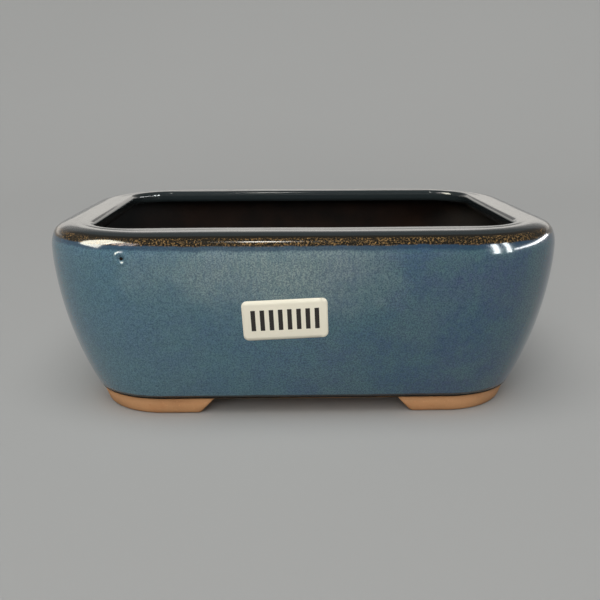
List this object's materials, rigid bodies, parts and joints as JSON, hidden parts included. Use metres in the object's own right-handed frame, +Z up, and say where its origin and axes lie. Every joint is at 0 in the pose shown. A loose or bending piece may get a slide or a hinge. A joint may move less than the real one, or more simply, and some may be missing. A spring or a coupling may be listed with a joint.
{
  "type": "bonsai pot",
  "caption": "Small rectangular bonsai pot with rounded corners, an inturned lip, drain holes and corner feet, glazed outside and bare inside.",
  "frame": {"origin": "centre of the footprint, on the surface the feet stand on", "axes": "+X along the pot's length, -Y towards its front, +Z up out of its mouth"},
  "size_m": [0.16, 0.122, 0.059],
  "materials": {
    "bare_clay": "matt bare fired clay, dark brown",
    "foot_clay": "matt bare fired clay, tan",
    "glaze": "glossy mottled blue-green glaze, brown where it thins over the rim",
    "label_paper": "matt white paper"
  },
  "bodies": {
    "root": {"pot_body": "bare_clay", "glaze_coat": "glaze", "foot_front_left": "foot_clay", "foot_front_right": "foot_clay", "foot_rear_left": "foot_clay", "foot_rear_right": "foot_clay", "stock_label": "label_paper"}
  },
  "joints": []
}
